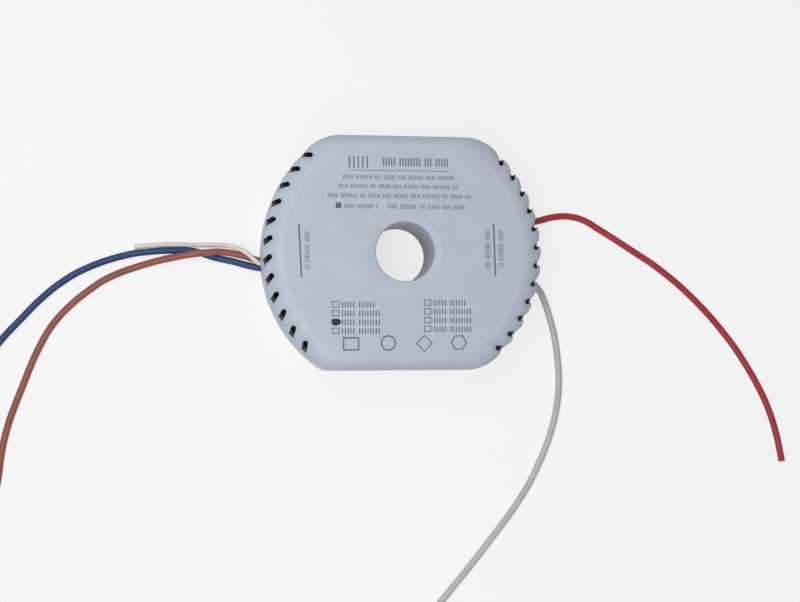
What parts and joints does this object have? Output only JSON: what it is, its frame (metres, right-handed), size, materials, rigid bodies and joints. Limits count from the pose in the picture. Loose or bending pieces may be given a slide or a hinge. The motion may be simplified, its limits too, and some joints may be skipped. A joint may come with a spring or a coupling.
{
  "type": "led driver",
  "caption": "LED driver in a flat plastic housing with round and flat sides, slanted vent slots round the shoulder, a through hole in the middle and loose connection leads.",
  "frame": {"origin": "middle of the base plate's underside, on the axis of the through hole", "axes": "+Z along the through hole to the printed face, +X to the side with the red and white leads, +Y to the flat side at the top of the printed face"},
  "size_m": [0.2905, 0.1687, 0.024],
  "materials": {
    "cover_plastic": "fine texture",
    "base_plastic": "fine texture",
    "screw_steel": "bright zinc",
    "board_laminate": "solder mask",
    "ferrite": "matt",
    "bobbin_plastic": "matt",
    "winding_tape": "satin",
    "coated_ferrite": "satin",
    "copper_wire": "enamelled",
    "fuse_body": "satin",
    "blue_coating": "satin",
    "yellow_case": "satin",
    "black_mould": "matt",
    "dark_sleeve": "satin",
    "sink_aluminium": "rolled",
    "white_mould": "matt",
    "control_laminate": "solder mask",
    "blue_insulation": "satin",
    "brown_insulation": "satin",
    "pale_insulation": "satin",
    "red_insulation": "satin",
    "white_insulation": "satin"
  },
  "bodies": {
    "root": {"top_cover": "cover_plastic", "base_plate": "base_plastic", "case_screws": "screw_steel", "circuit_board": "board_laminate", "transformer_core": "ferrite", "transformer_bobbin": "bobbin_plastic", "transformer_winding": "winding_tape", "choke_core": "coated_ferrite", "choke_windings": "copper_wire", "line_fuse": "fuse_body", "surge_varistor": "blue_coating", "line_capacitor": "yellow_case", "bridge_rectifier": "black_mould", "bulk_capacitor": "dark_sleeve", "safety_capacitor": "blue_coating", "heat_sink": "sink_aluminium", "power_transistor": "black_mould", "controller_chip": "black_mould", "optocoupler": "white_mould", "output_diode": "black_mould", "output_capacitor": "dark_sleeve", "filter_capacitor": "dark_sleeve", "inductor_core": "ferrite", "inductor_winding": "copper_wire", "control_board": "control_laminate", "control_chip": "black_mould", "blue_lead": "blue_insulation", "brown_lead": "brown_insulation", "pale_lead": "pale_insulation", "red_lead": "red_insulation", "white_lead": "white_insulation"}
  },
  "joints": []
}
